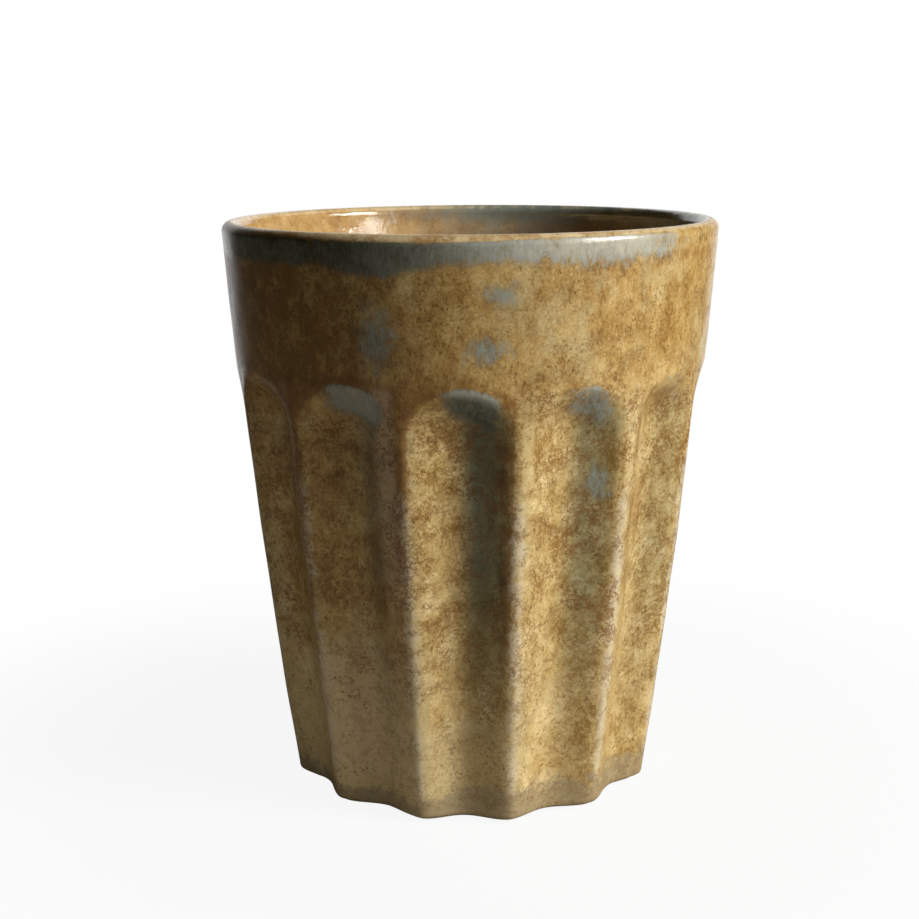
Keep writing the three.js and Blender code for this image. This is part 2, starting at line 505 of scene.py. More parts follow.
def lip_masks(at):
    """The crown of the lip, the grey band under it, and the strip of rust under the band.

    The band reaches further down on the left of the front and behind, has dips, and thins out towards +X.
    """
    front_left = within(FRONT_LEFT, at.degrees)
    behind = fade(*BEHIND_START, np.abs(at.degrees))
    reach = BAND_REACH + BAND_REACH_LEFT * np.maximum(front_left, BAND_BEHIND_SHARE * behind)
    for middle, width, depth in BAND_DIPS:
        reach = reach + depth * np.exp(-(((at.degrees - middle) / width) ** 2))
    above_edge = at.height - (LIP_HEIGHT - reach)
    crown_start = CROWN_START + CROWN_RAISED * within(CROWN_RAISED_AT, at.degrees)
    crown = fade(crown_start, crown_start + CROWN_BLEND, at.height)
    edge = BAND_EDGE + BAND_EDGE_SOFT * within(BAND_SOFT_AT, at.degrees)
    band = fade(-edge, BAND_BLEND, above_edge) * (1 - crown)
    band = band * (BAND_LEVEL + (1 - BAND_LEVEL) * front_left)
    band = band * (1 - BAND_END_LOSS * within(BAND_END, at.degrees))
    return crown, band, within(UNDER_BAND, above_edge)


def head_masks(at):
    """Glaze gathered in the heads of the flutes, with painted shade under the head, and how pale it is there.
    """
    heads = within(HEAD_AWAY, at.away) * fade(*HEAD_NOSE, at.nose) * within(HEAD_ACROSS, at.across)
    cap = CAP_PALENESS * fade(*CAP_AWAY, at.away) * fade(*CAP_HEIGHT, at.height)
    return heads * np.array(HEAD_POOLING_AND_SHADE)[at.flute], np.maximum(np.array(HEAD_PALENESS)[at.flute], cap)


def shade_and_haze_masks(at):
    """Painted shade on the flutes' right sides, its teal, and milky glaze with painted bounce light low on
    the left.
    """
    shade_level = np.array(PAINTED_SHADE_LEVEL)[at.flute]
    hazy = np.array(RUN_HAZE)[at.flute]
    rise, fall = PAINTED_SHADE_ACROSS
    side = fade(*rise, at.across) * (1 - fade(*fall, at.across + PAINTED_SHADE_INSET * hazy))
    shade = side * within(PAINTED_SHADE_NOSE, at.nose) * shade_level
    teal = TEAL_LEVEL * shade_level**2 * (1 - fade(*TEAL_ACROSS, at.across)) * fade(*TEAL_NOSE, at.nose)
    haze = hazy * within(HAZE_ACROSS, at.across) * fade(*HAZE_NOSE, at.nose) * at.fluted
    # Painted bounce light: a paler milky patch low on the left of the front
    painted_bounce = MILKY_BOUNCE_LEVEL * within(MILKY_BOUNCE_AT, at.degrees) * within(MILKY_BOUNCE_HEIGHT, at.height)
    return shade, teal, np.maximum(haze, painted_bounce)


def drift_mask(at):
    """Drifts of glaze: bell curves over the surface, and the strongest of them at each point."""
    drifts = np.zeros_like(at.height)
    for middle, high, wide, tall, strength in DRIFTS:
        off = np.radians((at.degrees - middle + 180) % 360 - 180) * at.radius
        drift = strength * np.exp(-((off / wide) ** 2) - ((at.height - high) / tall) ** 2)
        drifts = np.maximum(drifts, drift)
    return drifts


def rust_and_shade_mask(at, under_band):
    """Rust on lands between the heads and under the band, and rust with painted shade on the flutes' flanks.
    """
    land = fade(*LAND_AWAY, at.away) * fade(*LAND_NOSE, at.nose) * (1 - fade(*LAND_FALL, at.height))
    land = land * (1 - LAND_CLEAR_LOSS * within(LAND_CLEAR_AT, at.degrees))
    # Flanks away from the key lamp: rust and painted shade
    flank = within(FLANK_ACROSS, at.across) * fade(*FLANK_HEIGHT, at.height) * at.fluted
    flank = flank * np.array(FLANK_RUST_AND_SHADE)[at.flute]
    under = UNDER_BAND_RUST * under_band * fade(*UNDER_BAND_START, at.degrees) * at.facing
    return np.clip(land + flank + under, 0, 1)


def tone_mask(at, dim_side):
    """How much paler the ochre is, or deeper where negative.

    It is paler low in the flutes, more so on the left of the front, where that is painted bounce light, and
    less on the right. Along the edge of a flute that catches the light it is paler, which is painted light.
    It is deeper high in the flutes, and over them on the dim side, where that is painted shade.
    """
    # Painted bounce light, low on the left of the front
    left = LOW_LEFT_PAINTED_BOUNCE * (1 - fade(*LOW_LEFT_END, at.degrees))
    right = LOW_RIGHT_TONE * fade(*LOW_RIGHT_START, at.degrees)
    low = (1 - fade(*LOW_END, at.height)) * (LOW_TONE + at.facing * (left + right))
    high = HIGH_TONE * fade(*HIGH_START, at.height)
    # Painted light on the edge of each flute that faces the key lamp
    edge = LIT_EDGE_PAINTED_LIGHT * fade(*LIT_EDGE_ACROSS, at.across)
    # Painted shade over the plain band on the dim side
    return at.fluted * (low + high + edge) + DIM_SIDE_PAINTED_SHADE * (1 - at.fluted) * dim_side


def coat_masks(radius, height, angle):
    """Masks over the outside, from 0 to 1, or a little more where the glaze is thick.

    pool_and_shade: glaze gathers blue-grey, under the lip, round the heads of the flutes and in drifts; its
    deep colour is partly painted shade, under the heads and on the dim left of the band.
    even: where it gathers in one smooth body, not in flecks. cream: where it is pale; on the band towards the
    key lamp that is thinner glaze and painted light.
    shade, teal: painted shade on the side of a flute away from the key lamp, tinted teal. haze: milky glaze,
    and painted bounce light low on the left.
    rust: thin glaze, with painted shade on the flanks. lip: the crown of the lip. pale: glaze breaks pale
    over the crests below.
    foot: its last few millimetres. upper: the plain band, and one flute as warm as it.
    veined: how much the brown lines show, most in the flutes. tone: paler and deeper ochre, with painted
    light, painted bounce light and painted shade in it.
    """
    at = coat_places(radius, height, angle)
    crown, band, under_band = lip_masks(at)
    heads, head_paleness = head_masks(at)
    shade, teal, haze = shade_and_haze_masks(at)
    drifts = drift_mask(at)
    dim_side = within(DIM_SIDE, at.degrees)
    crests = fade(*CREST_ACROSS, np.abs(at.across)) * at.fluted
    foot_end = FOOT_END + FOOT_END_RAISED * fade(*FOOT_RAISED_START, at.degrees) * at.facing
    plain = fade(*PLAIN_START, at.height) * (1 - PLAIN_DIM_LOSS * dim_side)
    warm = WARM_LEVEL * within(WARM_AT, at.degrees) * fade(*WARM_HEIGHT, at.height)
    # The band paler on the front towards +X: thinner glaze and painted light from the key lamp
    lit_pale_band = band * fade(*BAND_CREAM_LIT_START, at.degrees) * at.facing
    return {
        "pool_and_shade": np.maximum(np.maximum(BAND_POOL * band, HEAD_POOL_AND_SHADE * heads), drifts),
        "even": np.maximum(np.maximum(heads, band), DRIFT_EVENNESS * drifts),
        "cream": np.clip(heads * head_paleness + lit_pale_band + DRIFT_CREAM * drifts, 0, 1),
        "shade": shade,
        "teal": teal,
        "haze": haze,
        "rust_and_shade": rust_and_shade_mask(at, under_band),
        "lip": crown * crown_strength(at.degrees),
        "pale": crests * (1 - fade(*CREST_NOSE, at.nose)) * fade(*CREST_RISE, at.height),
        "foot": 1 - fade(FOOT_FULL, foot_end, at.height),
        "upper": np.maximum(plain, warm),
        "veined": VEINED_ALL + VEINED_FLUTES * fade(*VEINED_HEIGHT, at.height) * at.fluted,
        "tone": tone_mask(at, dim_side),
    }


def glaze_coat():
    """The glaze outside: the coat's surface up to the crest of the lip, and back down against the clay."""
    seen = outside_profile(0, BARE_FOOT, SEEN_SHARE)
    hidden = outside_profile(GLAZE, BARE_FOOT, COAT_BACK_SHARE)[::-1]
    profile = np.concatenate([seen, hidden])
    radius, height, angle = turned_grid(profile, np.ones(len(profile), bool), COAT_COLUMNS)
    piece, keep = grid_mesh("outer_glaze_coat", radius, height, angle, closed_loop=True)
    shown = np.s_[: len(seen)]
    for name, values in coat_masks(radius[shown], height[shown], angle[shown]).items():
        whole = np.zeros_like(radius)
        whole[shown] = values
        set_mask(piece, name, whole[keep])
    return piece


def liner_coat():
    """The liner glaze: its surface from the crest of the lip over the floor, and back against the clay."""
    seen = inside_profile(0, SEEN_SHARE)
    hidden = inside_profile(GLAZE, LINER_BACK_SHARE)[::-1]
    profile = np.concatenate([hidden, seen])
    radius, height, angle = turned_grid(profile, np.zeros(len(profile), bool), LINER_COLUMNS)
    piece, keep = grid_mesh("liner_glaze_coat", radius, height, angle, closed_loop=False)
    degrees = signed_degrees(angle)
    # A grey wash, partly painted shade on the dim far side of the inside
    wash_and_shade = fade(*WASH_START, height) * (WASH_LOW + (1 - WASH_LOW) * fade(*WASH_FULL, height))
    set_mask(piece, "pool_and_shade", (wash_and_shade * around_far(degrees))[keep])
    set_mask(piece, "lip", (fade(*LINER_CROWN, height) * crown_strength(degrees))[keep])
    return piece


def clay_body():
    """The fired clay: fluted outside, smooth inside, with a hollow in the standing ring."""
    under = recess_profile()
    outside = outside_profile(GLAZE, 0, CLAY_SHARE)
    inside = inside_profile(GLAZE, LINER_BACK_SHARE)
    profile = np.concatenate([under, outside, inside])
    fluted = np.zeros(len(profile), bool)
    fluted[len(under) : len(under) + len(outside)] = True
    radius, height, angle = turned_grid(profile, fluted, CLAY_COLUMNS)
    piece, _ = grid_mesh("clay_body", radius, height, angle, closed_loop=False)
    return piece


# Node helpers

def add(tree, kind, inputs=None, **settings):
    """Adds a node, sets its properties, and links or sets the inputs that are given."""
    made = tree.nodes.new(kind)
    for name, value in settings.items():
        setattr(made, name, value)
    for key, value in (inputs or {}).items():
        socket = made.inputs[key]
        if isinstance(value, bpy.types.NodeSocket):
            tree.links.new(value, socket)
        else:
            socket.default_value = value
    return made


def maths(tree, operation, a, b=0.0, clamp=False):
    """One step of arithmetic on values."""
    return add(tree, "ShaderNodeMath", {0: a, 1: b}, operation=operation, use_clamp=clamp).outputs[0]


def times(tree, a, b):
    """Product of two values."""
    return maths(tree, "MULTIPLY", a, b)


def weighted(tree, first, *terms):
    """A value plus others, each times its weight."""
    total = first
    for value, weight in terms:
        total = maths(tree, "ADD", total, times(tree, value, weight))
    return total


def mix(tree, factor, a, b, blend="MIX"):
    """Colour a with colour b over it, by a factor."""
    made = add(tree, "ShaderNodeMix", {0: factor, 6: a, 7: b}, data_type="RGBA", blend_type=blend)
    return made.outputs[2]


def mapped(tree, kind, value, low, high, to_low, to_high):
    """A value carried from one range onto another, and held at the ends."""
    inputs = {"Value": value, "From Min": low, "From Max": high, "To Min": to_low, "To Max": to_high}
    return add(tree, "ShaderNodeMapRange", inputs, interpolation_type=kind).outputs[0]


def spread(tree, value, low, high, to_low=0.0, to_high=1.0):
    """Smooth step of a value from low to high, onto another range."""
    return mapped(tree, "SMOOTHSTEP", value, low, high, to_low, to_high)


def ramp(tree, value, low, high, to_low=0.0, to_high=1.0):
    """Straight ramp of a value from low to high, onto another range."""
    return mapped(tree, "LINEAR", value, low, high, to_low, to_high)


def noise(tree, place, scale, detail, roughness):
    """Cloudy noise at a place, which lies about NOISE_MIDDLE."""
    inputs = {"Vector": place, "Scale": scale, "Detail": detail, "Roughness": roughness}
    return add(tree, "ShaderNodeTexNoise", inputs).outputs["Fac"]


def centred(tree, value):
    """A noise moved so that its middle is 0."""
    return maths(tree, "SUBTRACT", value, NOISE_MIDDLE)


def stretched(tree, place, factor, shift=(0.0, 0.0, 0.0)):
    """A place whose height counts by a factor, so that a pattern on it runs down the wall."""
    inputs = {"Vector": place, "Location": shift, "Scale": (1.0, 1.0, factor)}
    return add(tree, "ShaderNodeMapping", inputs).outputs[0]


def mask(tree, name):
    """One of the numbers that are stored on the points of a piece."""
    return add(tree, "ShaderNodeAttribute", attribute_name=name).outputs["Fac"]


def new_group(name, inputs, outputs):
    """A node group with named sockets, and its input and output nodes."""
    tree = bpy.data.node_groups.new(name, "ShaderNodeTree")
    for label, kind in inputs:
        tree.interface.new_socket(label, in_out="INPUT", socket_type=kind)
    for label, kind in outputs:
        tree.interface.new_socket(label, in_out="OUTPUT", socket_type=kind)
    return tree, tree.nodes.new("NodeGroupInput").outputs, tree.nodes.new("NodeGroupOutput").inputs


def use(tree, group, inputs):
    """Places a node group, and returns its outputs."""
    return add(tree, "ShaderNodeGroup", inputs, node_tree=group).outputs


# Patterns that several materials share

# A noise has its detail and roughness, after its scale where that is fixed
FLOAT = "NodeSocketFloat"
COLOUR = "NodeSocketColor"
VECTOR = "NodeSocketVector"
NOISE_MIDDLE = 0.5
CLOUD = (6.0, 0.78)
SAND = (2300.0, 2.0, 0.7)
SPECK = (3.0, 0.7)
SPECK_EDGE = 0.09
CLUSTER = (3.0, 0.6)
CLUSTER_SCALE = 0.14
CLUSTER_SHOW = (0.42, 0.62)
VEIN_FIELD = (6.0, 0.75)
VEIN_PATCH = (4.0, 0.7)
VEIN_PATCH_SCALE = 0.45
VEIN_PATCH_SHOW = (0.44, 0.60)
PEEL = (240.0, 2.0, 0.4)
TOOTH = (1500.0, 3.0, 0.6)
BUMP_DISTANCE = 0.0002


def mottle_group():
    """Glaze that has crystallised unevenly: pale, middle and deep colour in clumps, with a sandy grain."""
    tree, given, result = new_group(
        "glaze_mottle",
        [("Place", VECTOR), ("Pale", COLOUR), ("Middle", COLOUR), ("Deep", COLOUR),
         ("Scale", FLOAT), ("Contrast", FLOAT), ("Grain", FLOAT), ("Shift", FLOAT)],
        [("Colour", COLOUR), ("Level", FLOAT)],
    )
    cloud = centred(tree, noise(tree, given["Place"], given["Scale"], *CLOUD))
    sand = centred(tree, noise(tree, given["Place"], *SAND))
    level = times(tree, cloud, given["Contrast"])
    level = weighted(tree, level, (sand, given["Grain"]))
    level = maths(tree, "ADD", maths(tree, "ADD", level, NOISE_MIDDLE), given["Shift"])
    below = mix(tree, ramp(tree, level, 0.0, NOISE_MIDDLE), given["Deep"], given["Middle"])
    colour = mix(tree, ramp(tree, level, NOISE_MIDDLE, 1.0), below, given["Pale"])
    tree.links.new(colour, result["Colour"])
    tree.links.new(level, result["Level"])
    return tree


def specks_group():
    """Iron specks: small ragged dark flecks that come in loose clusters."""
    inputs = [("Place", VECTOR), ("Scale", FLOAT), ("Threshold", FLOAT)]
    tree, given, result = new_group("iron_specks", inputs, [("Mask", FLOAT)])
    fleck = noise(tree, given["Place"], given["Scale"], *SPECK)
    cluster = noise(tree, given["Place"], times(tree, given["Scale"], CLUSTER_SCALE), *CLUSTER)
    high = maths(tree, "ADD", given["Threshold"], SPECK_EDGE)
    spot = spread(tree, fleck, given["Threshold"], high)
    tree.links.new(times(tree, spot, spread(tree, cluster, *CLUSTER_SHOW)), result["Mask"])
    return tree


def veins_group():
    """Thin wandering lines where a noise passes its middle, kept to loose patches."""
    inputs = [("Place", VECTOR), ("Scale", FLOAT), ("Width", FLOAT)]
    tree, given, result = new_group("iron_veins", inputs, [("Mask", FLOAT)])
    field = noise(tree, given["Place"], given["Scale"], *VEIN_FIELD)
    off = maths(tree, "ABSOLUTE", centred(tree, field))
    line = spread(tree, off, given["Width"], 0.0)
    patches = noise(tree, given["Place"], times(tree, given["Scale"], VEIN_PATCH_SCALE), *VEIN_PATCH)
    tree.links.new(times(tree, line, spread(tree, patches, *VEIN_PATCH_SHOW)), result["Mask"])
    return tree


def ripple_group():
    """Height of a fired glaze surface: a slow orange peel and a fine tooth."""
    inputs = [("Place", VECTOR), ("Peel", FLOAT), ("Tooth", FLOAT)]
    tree, given, result = new_group("glaze_ripple", inputs, [("Height", FLOAT)])
    peel = times(tree, noise(tree, given["Place"], *PEEL), given["Peel"])
    tooth = noise(tree, given["Place"], *TOOTH)
    tree.links.new(weighted(tree, peel, (tooth, given["Tooth"])), result["Height"])
    return tree


MOTTLE = mottle_group()
SPECKS = specks_group()
VEINS = veins_group()
RIPPLE = ripple_group()


def new_material(name):
    """An empty material, its node tree, and the place on the piece that its patterns go by."""
    material = bpy.data.materials.new(name)
    material.use_nodes = True
    tree = material.node_tree
    tree.nodes.clear()
    place = add(tree, "ShaderNodeTexCoord").outputs["Object"]
    return material, tree, place


def finish_material(tree, place, colour, roughness, ripple, ior):
    """Joins colour, roughness and a rippled normal to a Principled shader with its index of refraction."""
    bump, peel, tooth = ripple
    height = use(tree, RIPPLE, {"Place": place, "Peel": peel, "Tooth": tooth})["Height"]
    bumped = {"Height": height, "Strength": bump, "Distance": BUMP_DISTANCE}
    normal = add(tree, "ShaderNodeBump", bumped).outputs[0]
    inputs = {"Base Color": colour, "Roughness": roughness, "Normal": normal, "IOR": ior}
    shader = add(tree, "ShaderNodeBsdfPrincipled", inputs).outputs[0]
    add(tree, "ShaderNodeOutputMaterial", {"Surface": shader})


# Colours, as light returned from each finish
OCHRE_PALE = (0.93, 0.75, 0.40, 1)
OCHRE = (0.71, 0.515, 0.215, 1)
OCHRE_DEEP = (0.38, 0.225, 0.06, 1)
ORANGE_TINT = (0.85, 0.75, 0.60, 1)
OLIVE = (0.62, 0.49, 0.24, 1)
RUST = (0.46, 0.21, 0.045, 1)
RUST_DARK = (0.20, 0.08, 0.018, 1)
VEIN = (0.25, 0.105, 0.025, 1)
IRON = (0.17, 0.09, 0.03, 1)
LIP_TAN = (0.95, 0.75, 0.44, 1)
# The deep pool colour is partly painted shade, under the flute heads and on the dim left of the band
POOL_DEEP_AND_SHADE = (0.055, 0.096, 0.086, 1)
POOL_PALE = (0.44, 0.49, 0.46, 1)
# SHADE_TINT and the teal after it are painted shade on the flutes' right walls
SHADE_TINT = (0.36, 0.47, 0.52, 1)
PAINTED_SHADE_TEAL = (0.19, 0.245, 0.20, 1)
HAZE = (0.82, 0.66, 0.47, 1)
CREAM = (0.76, 0.70, 0.56, 1)
CREST_PALE = (0.84, 0.745, 0.56, 1)
FOOT_OLIVE = (0.41, 0.33, 0.19, 1)
LINER_PALE = (0.76, 0.53, 0.25, 1)
LINER = (0.59, 0.36, 0.135, 1)
LINER_DEEP = (0.36, 0.185, 0.055, 1)
INSIDE_DEEP_AND_SHADE = (0.14, 0.22, 0.22, 1)
INSIDE_PALE = (0.29, 0.38, 0.37, 1)
CLAY_PALE = (0.60, 0.50, 0.37, 1)
CLAY_DEEP = (0.42, 0.32, 0.21, 1)

# Noises of the coat: scale, detail and roughness, and how much height counts in those that run down the wall
HAIR = (2200.0, 2.0, 0.6)
HAIR_STRETCH = 0.22
PATCH = (150.0, 6.0, 0.75)
PATCH_STRETCH = 0.7
PATCH_SHIFT = (0.1, 0.2, 0.3)
FLECK = (520.0, 4.0, 0.7)
HUE = (90.0, 5.0, 0.75)
HUE_STRETCH = 0.7
HUE_SHIFT = (0.3, 0.1, 0.2)

# Effects on the coat: ranges for spread and ramp, weights of noises and masks, and shares of a colour. A
# range has its two ends, then the values there where they are not 0 and 1. A ripple has the strength of the
# bump, then the shares of peel and tooth in it
MOTTLE_SCALE = 230.0
MOTTLE_STRETCH = 0.8
MOTTLE_CONTRAST = (-0.1, 0.16, 3.2, 2.2)
MOTTLE_GRAIN = 1.3
STREAK_SHARE = 0.5
ORANGE_SHOW = (0.32, 0.54)
ORANGE_UPPER = (0.0, 1.0, 0.1, 1.0)
OLIVE_TONE = -0.5
OLIVE_SHOW = (0.50, 0.36, 0.0, 0.5)
RUST_AND_SHADE_MASK = 0.42
RUST_HAIR = 0.3
RUST_LEVEL = (0.0, 0.9)
RUST_SHOW = (0.64, 0.88, 0.0, 0.75)
PALE_MASK = 0.8
PALE_RAGGED = 1.6
PALE_FLECK = 1.8
PALE_SHOW = (0.35, 0.95, 0.0, 0.6)
HAZE_SHOW = (0.3, 0.6, 0.35, 0.75)
SHADE_SHOW = (0.2, 0.6, 0.65, 1.0)
POOL_HAIR = 1.3
POOL_RAGGED = 1.8
POOL_FLECK = (0.0, 0.7, 1.8, 0.4)
POOL_SHOW = (0.35, 1.2)
POOL_WITHIN = (0.0, 0.45)
POOL_SHARE = 0.88
POOL_LEVEL_HAIR = 0.7
POOL_LEVEL_CALM = (0.0, 0.7, 1.0, 0.55)
POOL_LEVEL_CREAM = 0.75
POOL_PALE_SHOW = (-0.1, 0.5)
POOL_CREAM_SHOW = (0.5, 0.85)
LIP_RAGGED = 1.2
LIP_SHOW = (0.3, 0.8, 0.0, 0.8)
LIP_RUST_SHOW = (0.46, 0.62, 0.0, 0.7)
FOOT_RAGGED = 1.2
FOOT_FLECK = 1.6
FOOT_SHOW = (0.45, 0.85)
FOOT_SHARE = 0.85
VEINS_UNDER_POOL = (0.0, 1.0, 1.0, 0.12)
VEIN_SCALE = 210.0
VEIN_WIDTH = 0.04
VEIN_STRETCH = 1.3
THREAD_SCALE = 560.0
THREAD_WIDTH = 0.05
SPECK_SCALE = 1600.0
SPECK_THRESHOLD = 0.55
SPECK_SHARE = 0.7
COAT_ROUGHNESS = (0.1, 0.9, 0.31, 0.22)
POOL_ROUGHNESS = -0.08
FOOT_ROUGHNESS = 0.25
COAT_RIPPLE = (0.35, 1.0, 0.5)
COAT_IOR = 1.5

# Effects on the liner
LINER_SCALE = 130.0
LINER_CONTRAST = 2.8
LINER_GRAIN = 0.5
LINER_RAGGED = (300.0, 5.0, 0.7)
LINER_STRETCH = 0.6
INSIDE_RAGGED = 0.7
INSIDE_SHOW = (0.0, 1.0)
INSIDE_SHARE = 0.85
INSIDE_PALE_SHOW = (-0.25, 0.35)
LINER_SPECK_SCALE = 900.0
LINER_SPECK_THRESHOLD = 0.6
LINER_SPECK_SHARE = 0.5
LINER_ROUGHNESS = (0.1, 0.9, 0.15, 0.08)
LINER_RIPPLE = (0.7, 1.0, 0.3)
LINER_IOR = 1.62

# Effects on the clay
CLAY_SCALE = 200.0
CLAY_CONTRAST = 2.2
CLAY_GRAIN = 0.6
CLAY_SPECK_SCALE = 1300.0
CLAY_SPECK_THRESHOLD = 0.62
CLAY_SPECK_SHARE = 0.6
CLAY_ROUGHNESS = (0.1, 0.9, 0.92, 0.8)
CLAY_RIPPLE = (0.5, 0.3, 1.0)
CLAY_IOR = 1.45


def coat_material():
    """Mottled ochre, and over it: orange and olive, rust and pools partly painted shade, pale crests, painted
    shade on the flutes, lip, foot and iron.
    """
    material, tree, place = new_material("mottled_ochre_glaze")
    upper = mask(tree, "upper")
    tone = mask(tree, "tone")
    pooled_and_shaded = mask(tree, "pool_and_shade")
    even = mask(tree, "even")
    hair = centred(tree, noise(tree, stretched(tree, place, HAIR_STRETCH), *HAIR))
    patch = noise(tree, stretched(tree, place, PATCH_STRETCH, PATCH_SHIFT), *PATCH)
    ragged = centred(tree, patch)
    fleck = centred(tree, noise(tree, place, *FLECK))
    hue = noise(tree, stretched(tree, place, HUE_STRETCH, HUE_SHIFT), *HUE)

    mottle = use(tree, MOTTLE, {
        "Place": stretched(tree, place, MOTTLE_STRETCH),
        "Pale": OCHRE_PALE, "Middle": OCHRE, "Deep": OCHRE_DEEP,
        "Scale": MOTTLE_SCALE, "Contrast": ramp(tree, tone, *MOTTLE_CONTRAST), "Grain": MOTTLE_GRAIN,
        "Shift": weighted(tree, tone, (times(tree, hair, upper), STREAK_SHARE)),
    })
    orange_at = times(tree, spread(tree, hue, *ORANGE_SHOW), ramp(tree, upper, *ORANGE_UPPER))
    orange = mix(tree, 1.0, mottle["Colour"], ORANGE_TINT, "MULTIPLY")
    colour = mix(tree, orange_at, mottle["Colour"], orange)
    olive_at = weighted(tree, hue, (tone, OLIVE_TONE))
    colour = mix(tree, spread(tree, olive_at, *OLIVE_SHOW), colour, OLIVE)

    # Rust, with painted shade on the flanks of the flutes
    rust_at = weighted(tree, patch, (mask(tree, "rust_and_shade"), RUST_AND_SHADE_MASK), (hair, RUST_HAIR))
    rust_and_shade = mix(tree, ramp(tree, mottle["Level"], *RUST_LEVEL), RUST_DARK, RUST)
    colour = mix(tree, spread(tree, rust_at, *RUST_SHOW), colour, rust_and_shade)

    pale_at = times(tree, mask(tree, "pale"), PALE_MASK)
    pale_at = weighted(tree, pale_at, (ragged, PALE_RAGGED), (fleck, PALE_FLECK))
    colour = mix(tree, spread(tree, pale_at, *PALE_SHOW), colour, CREST_PALE)

    # Milky glaze, and painted bounce light low on the left
    haze_at = times(tree, mask(tree, "haze"), spread(tree, patch, *HAZE_SHOW))
    colour = mix(tree, haze_at, colour, HAZE)
    # Painted shade: the flutes' right walls darkened and tinted teal, where they face away from the key lamp
    shade_at = times(tree, mask(tree, "shade"), spread(tree, patch, *SHADE_SHOW))
    shaded = mix(tree, 1.0, colour, SHADE_TINT, "MULTIPLY")
    shaded = mix(tree, mask(tree, "teal"), shaded, PAINTED_SHADE_TEAL)
    colour = mix(tree, shade_at, colour, shaded)

    # Blue-grey pools; their deep colour is partly painted shade under the flute heads
    broken = ramp(tree, even, *POOL_FLECK)
    pool_and_shade_at = weighted(tree, pooled_and_shaded, (hair, POOL_HAIR), (ragged, POOL_RAGGED), (fleck, broken))
    pool_and_shade_at = times(tree, spread(tree, pool_and_shade_at, *POOL_SHOW), spread(tree, pooled_and_shaded, *POOL_WITHIN))
    pool_level = weighted(tree, maths(tree, "ADD", ragged, fleck), (hair, POOL_LEVEL_HAIR))
    pool_level = times(tree, pool_level, ramp(tree, even, *POOL_LEVEL_CALM))
    pool_level = weighted(tree, pool_level, (mask(tree, "cream"), POOL_LEVEL_CREAM))
    pool_and_shade = mix(tree, ramp(tree, pool_level, *POOL_PALE_SHOW), POOL_DEEP_AND_SHADE, POOL_PALE)
    pool_and_shade = mix(tree, ramp(tree, pool_level, *POOL_CREAM_SHOW), pool_and_shade, CREAM)
    colour = mix(tree, times(tree, pool_and_shade_at, POOL_SHARE), colour, pool_and_shade)

    lip_at = weighted(tree, mask(tree, "lip"), (ragged, LIP_RAGGED))
    lip_colour = mix(tree, spread(tree, hue, *LIP_RUST_SHOW), LIP_TAN, RUST)
    colour = mix(tree, spread(tree, lip_at, *LIP_SHOW), colour, lip_colour)
    foot_at = weighted(tree, mask(tree, "foot"), (ragged, FOOT_RAGGED), (fleck, FOOT_FLECK))
    foot_at = spread(tree, foot_at, *FOOT_SHOW)
    colour = mix(tree, times(tree, foot_at, FOOT_SHARE), colour, FOOT_OLIVE)

    clear = ramp(tree, pool_and_shade_at, *VEINS_UNDER_POOL)
    veined = times(tree, mask(tree, "veined"), clear)
    vein_place = stretched(tree, place, VEIN_STRETCH)
    for where, scale, width in ((vein_place, VEIN_SCALE, VEIN_WIDTH), (place, THREAD_SCALE, THREAD_WIDTH)):
        lines = use(tree, VEINS, {"Place": where, "Scale": scale, "Width": width})["Mask"]
        colour = mix(tree, times(tree, lines, veined), colour, VEIN)
    specks = use(tree, SPECKS, {"Place": place, "Scale": SPECK_SCALE, "Threshold": SPECK_THRESHOLD})["Mask"]
    colour = mix(tree, times(tree, times(tree, specks, SPECK_SHARE), clear), colour, IRON)

    roughness = spread(tree, mottle["Level"], *COAT_ROUGHNESS)
    roughness = weighted(tree, roughness, (pool_and_shade_at, POOL_ROUGHNESS), (foot_at, FOOT_ROUGHNESS))
    finish_material(tree, place, colour, roughness, COAT_RIPPLE, COAT_IOR)
    return material


def liner_material():
    """Glossy ochre, washed grey below the lip on the far side, which is partly painted shade, with the lip's
    tan and a few iron specks.
    """
    material, tree, place = new_material("liner_glaze_gloss")
    mottle = use(tree, MOTTLE, {
        "Place": place, "Pale": LINER_PALE, "Middle": LINER, "Deep": LINER_DEEP,
        "Scale": LINER_SCALE, "Contrast": LINER_CONTRAST, "Grain": LINER_GRAIN, "Shift": 0.0,
    })
    ragged = centred(tree, noise(tree, stretched(tree, place, LINER_STRETCH), *LINER_RAGGED))
    # Grey wash on the far side: blue-grey glaze and painted shade
    pool_and_shade_at = weighted(tree, mask(tree, "pool_and_shade"), (ragged, INSIDE_RAGGED))
    pool_and_shade_at = times(tree, spread(tree, pool_and_shade_at, *INSIDE_SHOW), INSIDE_SHARE)
    pool_and_shade = mix(tree, ramp(tree, ragged, *INSIDE_PALE_SHOW), INSIDE_DEEP_AND_SHADE, INSIDE_PALE)
    colour = mix(tree, pool_and_shade_at, mottle["Colour"], pool_and_shade)
    lip_at = weighted(tree, mask(tree, "lip"), (ragged, LIP_RAGGED))
    colour = mix(tree, spread(tree, lip_at, *LIP_SHOW), colour, LIP_TAN)
    speckled = {"Place": place, "Scale": LINER_SPECK_SCALE, "Threshold": LINER_SPECK_THRESHOLD}
    specks = use(tree, SPECKS, speckled)["Mask"]
    colour = mix(tree, times(tree, specks, LINER_SPECK_SHARE), colour, IRON)
    roughness = spread(tree, mottle["Level"], *LINER_ROUGHNESS)
    finish_material(tree, place, colour, roughness, LINER_RIPPLE, LINER_IOR)
    return material


